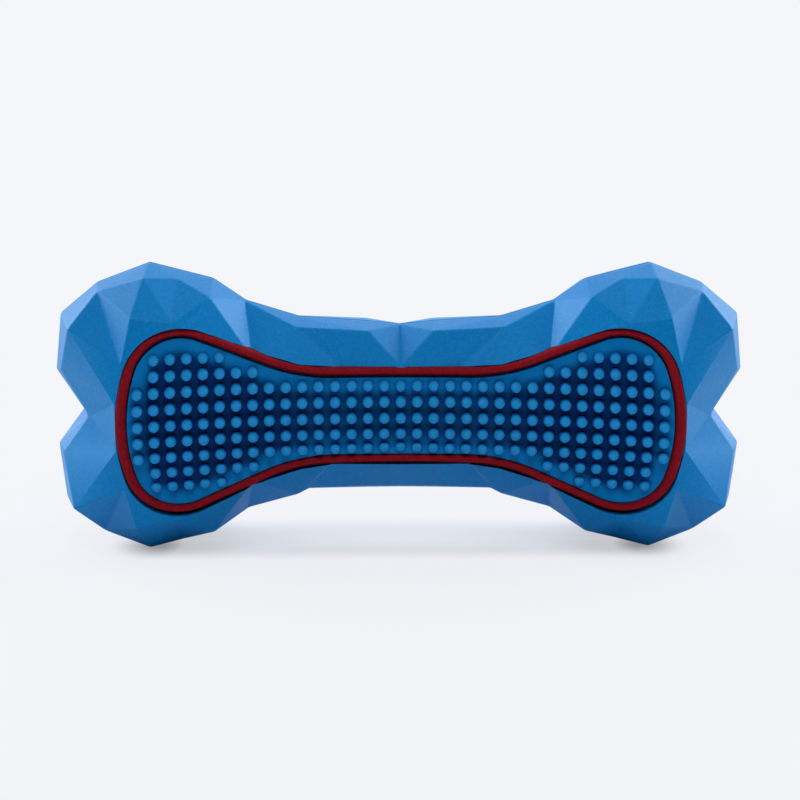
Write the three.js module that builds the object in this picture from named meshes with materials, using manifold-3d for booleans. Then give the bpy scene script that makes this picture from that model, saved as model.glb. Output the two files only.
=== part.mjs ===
// A bone-shaped rubber dog toy, standing on its two lower lobes.
// Two faceted half shells meet at an upright seam. Each holds a soft pad of round nubs in a
// bone-shaped window, with a trim ring laid round the window. A squeaker sits between the pads.
// Millimetres. X runs along the bone, the front face looks along -Y, and Z is up.

import * as THREE from 'three';
import { mergeVertices } from 'three/addons/utils/BufferGeometryUtils.js';
import Module from 'manifold-3d';

// Overall sizes of the bone
const LENGTH = 170;
const LOBE_HEIGHT = 72;
const WAIST_HEIGHT = 42;
const NOTCH_DEPTH = 7;
const NOTCH_HALF_WIDTH = 9.5;
const PEAK_FROM_LOBE = 8.25;
const NECK_FROM_WAIST = 9;
const FOOT_CUT = 0.8;
const SEAM_LAND = 1;
const SEAM_GAP = 0.3;
const CLEARANCE = 0.3;

// Widths of the shell left round the window, measured to the middle of the trim ring
const END_WALL = 18.2;
const LOBE_WALL = 14.2;
const WAIST_WALL = 10.2;

// The window's outline: a flat end, round lobes, straight flanks and a straight waist
const LOBE_RADIUS = 12.05;
const END_BULGE = 1.5;
const FLANK_ANGLE = THREE.MathUtils.degToRad(23);
const FLANK_RADIUS = 43.2;
const END_STEPS = 2;
const LOBE_STEPS = 4;
const FLANK_STEPS = 2;

// The saddle-shaped face that ring and pad follow, as heights above the seam
const FACE_WAIST = 12.2;
const FACE_RISE = 10.4;
const FACE_DROOP = 1.3;

// Trim ring
const RING_WIDTH = 2.4;
const RING_HEIGHT = 3;
const RING_EDGE = 0.6;

// Nub pad
const FLANGE_THICKNESS = 1.8;
const PAD_RECESS = 1.2;
const PAD_CROWN = 1.5;
const NUB_PITCH = 4;
const NUB_DIAMETER = 2.75;
const NUB_RISE = 3.2;
const NUB_DOME = 0.8;
const NUB_ROOT = 1.2;
const NUB_SIDES = 5;
const NUB_OVERHANG = 0.25;
const TIP_RADIUS_WAIST = 18;
const TIP_RADIUS_LOBE = 36;

// Locating pegs on the seam
const PEG_DIAMETER = 5;
const PEG_LENGTH = 4;
const PEG_FROM_LOBE_X = 18.5;
const PEG_FROM_LOBE_Z = 10.5;
const PEG_SIDES = 8;

// Squeaker, in the right-hand lobe
const SQUEAKER_FROM_LOBE = 6;
const BULB_ROOM = 4.5;
const BULB_WALL = 1.2;
const BULB_CROWN = 6;
const BULB_RIM_WIDTH = 5;
const BULB_RIM_THICKNESS = 1.2;
const BULB_SIDES = 14;
const BULB_STEPS = 3;
const BOSS_HEIGHT = 1.5;
const BOSS_RADIUS = 6;
const BOSS_SIDES = 12;
const NECK_RADIUS = 4.3;
const NECK_BORE = 3.2;
const NECK_LENGTH = 7.5;
const NECK_SIDES = 10;
const WHISTLE_LENGTH = 10;
const WHISTLE_HEAD = 1.2;
const WHISTLE_CHANNEL = 1;
const REED_LENGTH = 8;
const REED_WIDTH = 4;
const REED_THICKNESS = 0.5;

// Finishes
const BODY_BLUE = 0x1d6bb0;
const PAD_BLUE = 0x1f70b8;
const TRIM_RED = 0x7c1420;
const BULB_WHITE = 0xe6e4dc;
const REED_GREY = 0xb9bcc0;

// Places worked out from the sizes above
const halfLength = LENGTH / 2;
const halfLobe = LOBE_HEIGHT / 2;
const halfWaist = WAIST_HEIGHT / 2;
const ringEnd = halfLength - END_WALL;
const ringLobe = halfLobe - LOBE_WALL;
const ringWaist = halfWaist - WAIST_WALL;
const lobeX = ringEnd - END_BULGE - LOBE_RADIUS;
const lobeZ = ringLobe - LOBE_RADIUS;
const flankFootZ = ringWaist + FLANK_RADIUS * (1 - Math.cos(FLANK_ANGLE));
const flankTopX = lobeX - LOBE_RADIUS * Math.sin(FLANK_ANGLE);
const flankTopZ = lobeZ + LOBE_RADIUS * Math.cos(FLANK_ANGLE);
const flankFootX = flankTopX - (flankTopZ - flankFootZ) / Math.tan(FLANK_ANGLE);
const waistEndX = flankFootX - FLANK_RADIUS * Math.sin(FLANK_ANGLE);
const peakX = lobeX + PEAK_FROM_LOBE;
const neckX = waistEndX + NECK_FROM_WAIST;
const padTop = -RING_HEIGHT - CLEARANCE;
const padBack = padTop - FLANGE_THICKNESS;
const padRim = -RING_WIDTH / 2 - CLEARANCE;
const squeakerX = lobeX - SQUEAKER_FROM_LOBE;
const bulbRadius = ringLobe - BULB_ROOM;
const bulbRim = bulbRadius + BULB_RIM_WIDTH;
const neckEndX = squeakerX - bulbRadius - NECK_LENGTH;
const nubRadius = NUB_DIAMETER / 2;
const FAR = LENGTH;

const wasm = await Module();
wasm.setup();

// Height of the saddle face above the seam at (x, z).
function face(x, z) {
  return FACE_WAIST + FACE_RISE * (x / ringEnd) ** 2 - FACE_DROOP * (z / ringLobe) ** 2;
}

const bulbTop = face(squeakerX, 0) + padBack - BOSS_HEIGHT - CLEARANCE;

// Signed volume of an indexed closed geometry, negative when its faces point inward.
function signedVolume(geometry) {
  const p = geometry.attributes.position;
  const corners = [new THREE.Vector3(), new THREE.Vector3(), new THREE.Vector3()];
  let volume = 0;
  for (let t = 0; t < geometry.index.count; t += 3) {
    corners.forEach((v, k) => v.fromBufferAttribute(p, geometry.index.getX(t + k)));
    volume += corners[0].dot(corners[1].clone().cross(corners[2])) / 6;
  }
  return volume;
}

// A closed geometry as a solid that can be joined and cut.
function solid(geometry) {
  const bare = geometry.clone();
  bare.deleteAttribute('normal');
  bare.deleteAttribute('uv');
  const welded = mergeVertices(bare, 1e-4);
  const inward = signedVolume(welded) < 0;
  const index = welded.index.array;
  const triVerts = [];
  for (let t = 0; t < index.length; t += 3) {
    const [a, b, c] = inward ? [index[t], index[t + 2], index[t + 1]] : index.slice(t, t + 3);
    if (a !== b && b !== c && c !== a) triVerts.push(a, b, c);
  }
  return new wasm.Manifold(new wasm.Mesh({
    numProp: 3,
    vertProperties: new Float32Array(welded.attributes.position.array),
    triVerts: new Uint32Array(triVerts),
  }));
}

// A cut or joined solid as a geometry, on the front (-Y) or the rear (+Y) of the seam.
function geometryOf(manifold, side) {
  const { vertProperties, triVerts } = manifold.getMesh();
  const geometry = new THREE.BufferGeometry();
  geometry.setAttribute('position', new THREE.BufferAttribute(new Float32Array(vertProperties), 3));
  const index = Array.from(triVerts);
  if (side === 'front') {
    geometry.scale(1, -1, 1);
    for (let t = 0; t < index.length; t += 3) {
      [index[t + 1], index[t + 2]] = [index[t + 2], index[t + 1]];
    }
  }
  geometry.setIndex(index);
  geometry.computeVertexNormals();
  return geometry;
}

// A surface through closed loops of equally many points. Cyclic joins the last loop to the first.
function skin(loops, cyclic = false) {
  const count = loops[0].length;
  const index = [];
  const pairs = cyclic ? loops.length : loops.length - 1;
  for (let i = 0; i < pairs; i++) {
    const here = i * count;
    const next = ((i + 1) % loops.length) * count;
    for (let j = 0; j < count; j++) {
      const k = (j + 1) % count;
      index.push(here + j, here + k, next + k, here + j, next + k, next + j);
    }
  }
  const geometry = new THREE.BufferGeometry().setFromPoints(loops.flat());
  geometry.setIndex(index);
  return geometry;
}

// One quarter of the window's outline, from the bone's end to the middle of its waist, as points
// with their outward normals: the end arc, the lobe arc, the straight flank and the waist.
function quarterOutline() {
  const reach = END_BULGE + LOBE_RADIUS;
  const endRadius = (reach ** 2 + lobeZ ** 2 - LOBE_RADIUS ** 2) / (2 * END_BULGE);
  const lobeStart = Math.atan2(lobeZ, lobeX - (ringEnd - endRadius));
  const lobeSweep = Math.PI / 2 + FLANK_ANGLE - lobeStart;
  const points = [];
  const add = (x, z, angle) => points.push({ x, z, nx: Math.cos(angle), nz: Math.sin(angle) });
  for (let s = 0; s < END_STEPS; s++) {
    const angle = (lobeStart * s) / END_STEPS;
    add(ringEnd - endRadius * (1 - Math.cos(angle)), endRadius * Math.sin(angle), angle);
  }
  for (let s = 0; s <= LOBE_STEPS; s++) {
    const angle = lobeStart + (lobeSweep * s) / LOBE_STEPS;
    add(lobeX + LOBE_RADIUS * Math.cos(angle), lobeZ + LOBE_RADIUS * Math.sin(angle), angle);
  }
  for (let s = 0; s <= FLANK_STEPS; s++) {
    const turn = FLANK_ANGLE * (1 - s / FLANK_STEPS);
    const x = waistEndX + FLANK_RADIUS * Math.sin(turn);
    const z = ringWaist + FLANK_RADIUS * (1 - Math.cos(turn));
    add(x, z, Math.PI / 2 + turn);
  }
  add(0, ringWaist, Math.PI / 2);
  return points;
}

// The whole outline, anticlockwise, with the quarter mirrored three times.
function wholeOutline() {
  const quarter = quarterOutline();
  const flip = (p, sx, sz) => ({ x: p.x * sx, z: p.z * sz, nx: p.nx * sx, nz: p.nz * sz });
  const left = quarter.slice(0, -1).reverse().map((p) => flip(p, -1, 1));
  const top = [...quarter, ...left];
  const bottom = top.slice(1, -1).reverse().map((p) => flip(p, 1, -1));
  return [...top, ...bottom];
}

const outline = wholeOutline();

// A loop that lies an offset outside the outline, at a height above the face.
function loopOnFace(offset, height) {
  return outline.map(({ x, z, nx, nz }) => {
    const px = x + nx * offset;
    const pz = z + nz * offset;
    return new THREE.Vector3(px, face(px, pz) + height, pz);
  });
}

// A loop drawn in towards the bone's middle line, by a share of the way, at height(x, z, share).
function innerLoop(offset, share, height) {
  const middle = lobeX / ringEnd;
  return outline.map(({ x, z, nx, nz }) => {
    const px = (x + nx * offset) * (middle + (1 - middle) * share);
    const pz = (z + nz * offset) * share;
    return new THREE.Vector3(px, height(px, pz, share), pz);
  });
}

// A straight shaft of the window's outline, right through one half.
function shaft() {
  const level = (y) => () => y;
  return solid(skin([
    innerLoop(0, 0, level(-FAR)), innerLoop(0, 1, level(-FAR)),
    innerLoop(0, 1, level(FAR)), innerLoop(0, 0, level(FAR)),
  ]));
}

// The rebate round the window that the trim ring lies in.
function rebate() {
  const outer = RING_WIDTH / 2 + CLEARANCE;
  return solid(skin([
    loopOnFace(-RING_WIDTH / 2, padTop), loopOnFace(outer, padTop),
    loopOnFace(outer, FAR), loopOnFace(-RING_WIDTH / 2, FAR),
  ], true));
}

// Facet corners of one quarter of one half, as [along the bone, out from the seam, up].
// Capitals lie on the seam's band, small letters on the facets in front of it.
function quarterCorners() {
  const onFace = (x, z, above = 0) => [x, face(x, z) + above, z];
  const windowEdge = RING_WIDTH / 2 + CLEARANCE;
  return {
    // Seam outline: lobe peak, lobe shoulders, end, notch and neck
    A: [peakX, SEAM_LAND, halfLobe],
    B: [peakX + 13, SEAM_LAND, halfLobe - 5],
    C: [halfLength - 1.5, SEAM_LAND, halfLobe - 12.5],
    D: [halfLength, SEAM_LAND, NOTCH_HALF_WIDTH],
    E: [halfLength - NOTCH_DEPTH, SEAM_LAND, 0],
    F: [peakX - 15.5, SEAM_LAND, halfLobe - 4],
    G: [peakX - 23.5, SEAM_LAND, halfLobe - 9.5],
    // Seam outline of the waist: above, with a shallow V, and below
    S: [neckX, SEAM_LAND, halfWaist + 1.5],
    T: [waistEndX / 2, SEAM_LAND, halfWaist + 0.4],
    U: [0, SEAM_LAND, halfWaist - 0.5],
    P: [neckX - 1.5, SEAM_LAND, halfWaist + 0.5],
    Q: [waistEndX / 2, SEAM_LAND, halfWaist + 0.2],
    V: [0, SEAM_LAND, halfWaist + 0.1],
    // Sloping shoulders
    a: [peakX + 0.5, 10.5, halfLobe - 2.1],
    j: [peakX - 7.5, 6.3, halfLobe - 3],
    b: [peakX + 12, 7.7, halfLobe - 5.7],
    c: [halfLength - 5, 15.2, halfLobe - 13.5],
    l: [halfLength - 1.7, 6.1, NOTCH_HALF_WIDTH + 0.9],
    m: [halfLength - NOTCH_DEPTH - 2, 11, 0],
    f: [peakX - 15.5, 11.8, halfLobe - 6.5],
    g: [peakX - 23.5, 2.5, halfLobe - 10.7],
    s: [neckX + 0.3, 7.3, halfWaist + 0.2],
    t: [waistEndX / 2, 5.2, halfWaist - 1.3],
    // A small step below the neck, and the middle of the waist's underside
    q: [neckX - 2.5, 5.4, halfWaist - 0.8],
    v: [0, 5.2, halfWaist - 1.3],
    // Corners close to the trim ring
    d: onFace(peakX + 2.8, halfLobe - 10),
    e: onFace(peakX - 7, halfLobe - 11.5, 2),
    i: onFace(lobeX + LOBE_RADIUS + 1.2, lobeZ + 5.4, 1.1),
    k: onFace(ringEnd + windowEdge, 5.8, 0.3),
    n: onFace(ringEnd + windowEdge, 0, 0.3),
    h: onFace(flankFootX + 3, flankFootZ + 3 * Math.tan(FLANK_ANGLE)),
    w: onFace(waistEndX, ringWaist),
    u: onFace(0, ringWaist + windowEdge),
    // Middle line, under the pad
    x: onFace(lobeX, 0),
    y: onFace(flankFootX, 0),
    z: onFace(0, 0),
  };
}

// Facets of one quarter, each as its corners in turn, and those that differ above and below.
const FACETS = ['ABba', 'BCcb', 'CDlc', 'DEml', 'jaAFf', 'fFGgh',
  'bda', 'ajed', 'jfe', 'bid', 'bci', 'cki', 'clk', 'lmk', 'mnk', 'die', 'feh', 'ghs', 'hws',
  'eix', 'ikx', 'knx', 'hex', 'hxy', 'why', 'wyz', 'tuw', 'wuz'];
const FACETS_ABOVE = ['GSsg', 'STts', 'swt', 'TUt', 'tUu'];
const FACETS_BELOW = ['GPsg', 'Pqs', 'PQtq', 'swq', 'qwt', 'QVvt', 'tvu'];
const SEAM_ABOVE = 'EDCBAFGSTU';
const SEAM_BELOW = 'EDCBAFGPQV';

// The seam's outline at one height, anticlockwise from the right-hand notch.
function seamLoop(corners, y) {
  const place = (name, sx, sz) => new THREE.Vector3(corners[name][0] * sx, y, corners[name][2] * sz);
  const above = [...SEAM_ABOVE];
  const below = [...SEAM_BELOW];
  return [
    ...above.map((n) => place(n, 1, 1)),
    ...above.slice(0, -1).reverse().map((n) => place(n, -1, 1)),
    ...below.slice(1).map((n) => place(n, -1, -1)),
    ...below.slice(1, -1).reverse().map((n) => place(n, 1, -1)),
  ];
}

// One faceted half of the bone as a full block, from the seam out.
function facetedHalf() {
  const corners = quarterCorners();
  const points = [];
  const triangle = (a, b, c) => {
    const normal = b.clone().sub(a).cross(c.clone().sub(a));
    points.push(...(normal.y < 0 ? [a, c, b] : [a, b, c]));
  };
  for (const [sx, sz] of [[1, 1], [-1, 1], [-1, -1], [1, -1]]) {
    const place = (n) => new THREE.Vector3(corners[n][0] * sx, corners[n][1], corners[n][2] * sz);
    for (const facet of [...FACETS, ...(sz > 0 ? FACETS_ABOVE : FACETS_BELOW)]) {
      const ring = [...facet].map(place);
      for (let q = 1; q < ring.length - 1; q++) triangle(ring[0], ring[q], ring[q + 1]);
    }
  }
  const land = seamLoop(corners, SEAM_LAND);
  const seam = seamLoop(corners, SEAM_GAP / 2);
  land.forEach((p, q) => {
    const r = (q + 1) % land.length;
    points.push(seam[q], p, land[r], seam[q], land[r], seam[r]);
  });
  const flat = seam.map((p) => new THREE.Vector2(p.x, p.z));
  for (const [a, b, c] of THREE.ShapeUtils.triangulateShape(flat, [])) {
    points.push(seam[a], seam[b], seam[c]);
  }
  return solid(new THREE.BufferGeometry().setFromPoints(points));
}

// A round bar along Y with its ends at two heights.
function barAlongY(radius, x, z, from, to, sides) {
  const bar = new THREE.CylinderGeometry(radius, radius, to - from, sides);
  return solid(bar.translate(x, (from + to) / 2, z));
}

// A round bar along X, on the seam.
function barAlongX(radius, from, to, sides) {
  const bar = new THREE.CylinderGeometry(radius, radius, to - from, sides);
  return solid(bar.rotateZ(Math.PI / 2).translate((from + to) / 2, 0, 0));
}

// The four peg places on the seam, one in each lobe.
function pegPlaces() {
  const x = lobeX + PEG_FROM_LOBE_X;
  const z = lobeZ + PEG_FROM_LOBE_Z;
  return [[x, z], [-x, z], [-x, -z], [x, -z]];
}

// One half shell: the faceted block with its window, ring rebate, squeaker groove and feet.
function shell(side) {
  let body = facetedHalf().subtract(shaft()).subtract(rebate());
  const groove = BULB_RIM_THICKNESS + CLEARANCE;
  body = body.subtract(barAlongY(bulbRim + CLEARANCE, squeakerX, 0, -FAR, groove, BULB_SIDES));
  const floor = new THREE.BoxGeometry(FAR * 2, FAR, FAR);
  body = body.subtract(solid(floor.translate(0, 0, FOOT_CUT - halfLobe - FAR / 2)));
  for (const [x, z] of pegPlaces()) {
    const radius = PEG_DIAMETER / 2;
    if (side === 'front') {
      body = body.add(barAlongY(radius, x, z, -PEG_LENGTH, SEAM_LAND, PEG_SIDES));
    } else {
      const depth = PEG_LENGTH + CLEARANCE;
      body = body.subtract(barAlongY(radius + CLEARANCE, x, z, -FAR, depth, PEG_SIDES));
    }
  }
  return geometryOf(body, side);
}

// The trim ring: a flat bead with eased edges, swept round the window on the face.
function trimRing(side) {
  const half = RING_WIDTH / 2;
  const ring = skin([
    loopOnFace(half, -RING_HEIGHT), loopOnFace(half, -RING_EDGE),
    loopOnFace(half - RING_EDGE, 0), loopOnFace(RING_EDGE - half, 0),
    loopOnFace(-half, -RING_EDGE), loopOnFace(-half, -RING_HEIGHT),
  ], true);
  return geometryOf(solid(ring), side);
}

// Shortest way from a point inside the pad to the pad's rim, or nothing where it is outside.
function roomToRim(x, z) {
  const rim = outline.map((p) => new THREE.Vector2(p.x + p.nx * padRim, p.z + p.nz * padRim));
  const here = new THREE.Vector2(x, z);
  let room = Infinity;
  let inside = false;
  rim.forEach((a, q) => {
    const b = rim[(q + 1) % rim.length];
    const along = b.clone().sub(a);
    const t = THREE.MathUtils.clamp(here.clone().sub(a).dot(along) / along.lengthSq(), 0, 1);
    room = Math.min(room, here.distanceTo(a.clone().addScaledVector(along, t)));
    if ((a.y > z) !== (b.y > z) && x < a.x + ((z - a.y) / (b.y - a.y)) * along.x) inside = !inside;
  });
  return inside ? room : 0;
}

// Place along the bone after going a length along the curve of the face's middle line.
function alongFace(length) {
  const curve = FACE_RISE / ringEnd ** 2;
  return length - (2 / 3) * curve ** 2 * length ** 3;
}

// Radius of the round back that the nubs' tips lie on, tight at the waist and wide at the lobes.
function tipRadius(x) {
  return THREE.MathUtils.lerp(TIP_RADIUS_WAIST, TIP_RADIUS_LOBE, Math.min(1, Math.abs(x) / lobeX));
}

// One nub, as a short round post with a domed tip.
function nub(x, z, tip) {
  const root = face(x, z) - PAD_RECESS - NUB_ROOT;
  const profile = [[0, root], [nubRadius, root], [nubRadius, tip - NUB_DOME], [0, tip]];
  const post = new THREE.LatheGeometry(profile.map(([r, y]) => new THREE.Vector2(r, y)), NUB_SIDES);
  return solid(post.translate(x, 0, z));
}

// Every nub that has room on the pad, with a slight overhang at its rim. Columns and rows keep
// their pitch along the curved surface.
function nubs() {
  const columns = Math.floor(ringEnd / NUB_PITCH);
  const rows = Math.floor(ringLobe / NUB_PITCH);
  const posts = [];
  for (let c = -columns; c <= columns; c++) {
    const x = alongFace(c * NUB_PITCH);
    const radius = tipRadius(x);
    for (let r = -rows; r <= rows; r++) {
      const turn = (r * NUB_PITCH) / radius;
      const z = radius * Math.sin(turn);
      const tip = face(x, 0) + NUB_RISE - radius * (1 - Math.cos(turn));
      if (roomToRim(x, z) >= nubRadius - NUB_OVERHANG) posts.push(nub(x, z, tip));
    }
  }
  return wasm.Manifold.union(posts);
}

// A block whose top is the pad's floor: it follows the face along the bone, and is crowned
// across, with a flat strip under the middle row of nubs.
function crownedBlock() {
  const stations = [
    [0, ringWaist], [waistEndX, ringWaist], [flankFootX, flankFootZ], [lobeX, ringLobe], [ringEnd, ringLobe],
  ];
  const mirrored = stations.slice(1).reverse().map(([x, half]) => [-x, half]);
  const section = ([x, half]) => {
    const edge = face(x, half) - PAD_RECESS;
    const middle = face(x, 0) - PAD_RECESS + PAD_CROWN;
    const flat = NUB_PITCH / 2;
    return [[-half, 0], [-half, edge], [-flat, middle], [flat, middle], [half, edge], [half, 0]]
      .map(([z, y]) => new THREE.Vector3(x, y, z));
  };
  const loops = [...mirrored, ...stations].map(section);
  const closing = (loop) => loop.map(() => new THREE.Vector3(loop[0].x, 0, 0));
  return solid(skin([closing(loops[0]), ...loops, closing(loops.at(-1))]));
}

// The pad: a flange held behind the trim ring, a crowned floor, the nubs, and a boss behind
// that pushes on the squeaker.
function nubPad(side) {
  const atBack = (x, z) => face(x, z) + padBack;
  const atTop = (x, z) => face(x, z) + padTop;
  const flange = solid(skin([
    innerLoop(-CLEARANCE, 0, atBack), innerLoop(-CLEARANCE, 1, atBack),
    innerLoop(-CLEARANCE, 1, atTop), innerLoop(-CLEARANCE, 0, atTop),
  ]));
  const raised = solid(skin([
    innerLoop(padRim, 0, atBack), innerLoop(padRim, 1, atBack),
    innerLoop(padRim, 1, () => FAR), innerLoop(padRim, 0, () => FAR),
  ]));
  const bossRoot = face(squeakerX, 0) + padTop;
  const boss = barAlongY(BOSS_RADIUS, squeakerX, 0, bulbTop + CLEARANCE, bossRoot, BOSS_SIDES);
  const plate = raised.intersect(crownedBlock()).add(flange);
  return geometryOf(plate.add(nubs()).add(boss), side);
}

// A domed profile round the squeaker's axis, drawn in by a wall, from a foot height up.
function bulbProfile(wall, foot) {
  const bow = new THREE.EllipseCurve(
    BULB_CROWN, BULB_RIM_THICKNESS, bulbRadius - wall - BULB_CROWN,
    bulbTop - wall - BULB_RIM_THICKNESS, 0, Math.PI / 2,
  );
  return [
    new THREE.Vector2(0, foot), new THREE.Vector2(bulbRadius - wall, foot),
    ...bow.getPoints(BULB_STEPS), new THREE.Vector2(0, bulbTop - wall),
  ];
}

// One half of the squeaker's bulb: a dome with a rim that the shells grip and half of a neck.
function bulbCup(side) {
  const turned = (profile) => solid(
    new THREE.LatheGeometry(profile, BULB_SIDES).translate(squeakerX, 0, 0),
  );
  const rim = barAlongY(bulbRim, squeakerX, 0, 0, BULB_RIM_THICKNESS, BULB_SIDES);
  const inside = squeakerX - bulbRadius + BULB_WALL * 2;
  const halfGap = SEAM_GAP / 2;
  const cup = turned(bulbProfile(0, 0)).add(rim).add(barAlongX(NECK_RADIUS, neckEndX, inside, NECK_SIDES))
    .subtract(turned(bulbProfile(BULB_WALL, -bulbRadius)))
    .subtract(barAlongX(NECK_BORE, neckEndX - bulbRadius, inside + BULB_WALL, NECK_SIDES))
    .subtract(solid(new THREE.BoxGeometry(FAR, FAR, FAR).translate(0, halfGap - FAR / 2, 0)));
  return geometryOf(cup, side);
}

// One half of the whistle, a half-round plug with an air channel along its flat and a head.
function whistleHalf(turn) {
  const flat = REED_THICKNESS / 2 + CLEARANCE;
  const section = (radius) => {
    const start = Math.acos(flat / radius);
    const shape = new THREE.Shape();
    shape.absarc(0, 0, radius, -start, start);
    shape.absarc(flat, 0, WHISTLE_CHANNEL, Math.PI / 2, -Math.PI / 2, true);
    return shape;
  };
  const bar = (radius, from, to) => {
    const options = { depth: to - from, bevelEnabled: false, curveSegments: NECK_SIDES / 2 };
    const plug = new THREE.ExtrudeGeometry(section(radius), options);
    return solid(plug.rotateY(Math.PI / 2).translate(from, 0, 0));
  };
  const headEnd = neckEndX - CLEARANCE;
  const body = bar(NECK_BORE - CLEARANCE, headEnd - WHISTLE_HEAD, neckEndX + WHISTLE_LENGTH)
    .add(bar(NECK_RADIUS, headEnd - WHISTLE_HEAD, headEnd));
  return geometryOf(body, 'rear').rotateX(turn);
}

// The reed, a thin tongue held between the whistle's halves.
function reed() {
  return new THREE.BoxGeometry(REED_LENGTH, REED_WIDTH, REED_THICKNESS)
    .translate(neckEndX + REED_LENGTH / 2, 0, 0);
}

// A named piece with its own finish.
function piece(name, geometry, color, roughness) {
  const material = new THREE.MeshStandardMaterial({ color, roughness, metalness: 0 });
  const mesh = new THREE.Mesh(geometry, material);
  mesh.name = name;
  return mesh;
}

const toy = new THREE.Group();
toy.position.z = halfLobe - FOOT_CUT;
for (const side of ['front', 'rear']) {
  toy.add(piece(`${side}_shell`, shell(side), BODY_BLUE, 0.6));
  toy.add(piece(`${side}_trim_ring`, trimRing(side), TRIM_RED, 0.65));
  toy.add(piece(`${side}_nub_pad`, nubPad(side), PAD_BLUE, 0.6));
  toy.add(piece(`squeaker_${side}_cup`, bulbCup(side), BULB_WHITE, 0.4));
}
toy.add(piece('squeaker_whistle_base', whistleHalf(0), BULB_WHITE, 0.4));
toy.add(piece('squeaker_whistle_top', whistleHalf(Math.PI), BULB_WHITE, 0.4));
toy.add(piece('squeaker_reed', reed(), REED_GREY, 0.3));

export default toy;
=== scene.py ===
"""The looks of a bone-shaped rubber dog toy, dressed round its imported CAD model.

Metres, +Z up. The bone lies along X and stands on its two lower lobes, with its front face
towards -Y. Heights called out are measured from the upright seam between the two half shells.
"""

import logging
import math
from collections.abc import Iterator
from contextlib import contextmanager
from dataclasses import dataclass, field
from enum import Enum

import bmesh
import bpy
import numpy as np
from mathutils import Matrix, Vector


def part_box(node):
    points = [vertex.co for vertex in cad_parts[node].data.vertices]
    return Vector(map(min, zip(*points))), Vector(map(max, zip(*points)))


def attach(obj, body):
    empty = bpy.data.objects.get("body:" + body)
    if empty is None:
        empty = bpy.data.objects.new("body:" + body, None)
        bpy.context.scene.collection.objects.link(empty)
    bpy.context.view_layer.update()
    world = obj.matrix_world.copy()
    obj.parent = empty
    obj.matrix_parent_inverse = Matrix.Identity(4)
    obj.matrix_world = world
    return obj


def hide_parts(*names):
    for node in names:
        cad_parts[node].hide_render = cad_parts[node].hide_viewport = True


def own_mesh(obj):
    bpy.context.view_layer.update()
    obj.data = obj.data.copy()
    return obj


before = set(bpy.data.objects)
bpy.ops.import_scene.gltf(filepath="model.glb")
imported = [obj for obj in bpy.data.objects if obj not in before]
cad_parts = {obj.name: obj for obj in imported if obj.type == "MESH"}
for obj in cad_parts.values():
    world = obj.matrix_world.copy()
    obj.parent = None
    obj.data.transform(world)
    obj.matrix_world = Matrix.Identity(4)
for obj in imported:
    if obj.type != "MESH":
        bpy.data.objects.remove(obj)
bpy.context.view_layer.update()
LOG = logging.getLogger("dog_toy")
WELD = 2e-6
# The pad's painted light, kept on its mesh: painted shade at 0, the plain colour at a half, and at 1 a
# pale colour that is partly painted highlight and partly scuffing.
PAINTED_LIGHT_AND_WEAR = "painted_light_and_wear"
SHADED, PLAIN, LIT_AND_SCUFFED = 0.0, 0.5, 1.0
Colour = tuple[float, float, float, float]
Place = tuple[float, float, float]
Span = tuple[float, float]
Surface = tuple[np.ndarray, np.ndarray]
PaintedLightSurface = tuple[np.ndarray, np.ndarray, np.ndarray]
Socket = bpy.types.NodeSocket


class Side(Enum):
    """The two halves of the toy, with the way that each looks out from the seam."""

    FRONT = -1
    REAR = 1

    @property
    def word(self) -> str:
        """The half's name as the CAD nodes have it."""
        return self.name.lower()


def linear(red: int, green: int, blue: int) -> Colour:
    """Turn a colour as seen on a screen into the linear light that a shader takes.

    Args:
        red: Red, 0 to 255.
        green: Green, 0 to 255.
        blue: Blue, 0 to 255.

    Returns:
        Linear red, green, blue and an alpha of one.
    """
    screen = np.array((red, green, blue)) / 255
    light = np.where(screen <= 0.04045, screen / 12.92, ((screen + 0.055) / 1.055) ** 2.4)
    return (*light.tolist(), 1.0)


def grid_faces(rows: int, columns: int, close_rows: bool = False) -> np.ndarray:
    """List the quads of a grid whose columns close on themselves.

    Quad (i, j) joins points (i, j), (i, j+1), (i+1, j+1) and (i+1, j), counted row by row.

    Args:
        rows: Number of loops.
        columns: Points in each loop.
        close_rows: Whether the last loop joins the first.

    Returns:
        Corner numbers, four for each quad.
    """
    last = rows if close_rows else rows - 1
    i, j = np.meshgrid(np.arange(last), np.arange(columns), indexing="ij")
    right, up = (j + 1) % columns, (i + 1) % rows
    corners = (i * columns + j, i * columns + right, up * columns + right, up * columns + j)
    return np.stack(corners, axis=-1).reshape(-1, 4)


@contextmanager
def editing(mesh: bpy.types.Mesh) -> Iterator[bmesh.types.BMesh]:
    """Open a mesh for changes to its corners, edges and faces, and write them back.

    Args:
        mesh: The mesh.

    Returns:
        The open mesh, while the changes are made.
    """
    shape = bmesh.new()
    shape.from_mesh(mesh)
    yield shape
    shape.to_mesh(mesh)
    shape.free()


def new_object(name: str, data: bpy.types.ID) -> bpy.types.Object:
    """Make an object of a mesh, a light or a camera and link it to the scene.

    Args:
        name: The object's name.
        data: The mesh, light or camera.

    Returns:
        The object.
    """
    thing = bpy.data.objects.new(name, data)
    bpy.context.scene.collection.objects.link(thing)
    return thing


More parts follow.
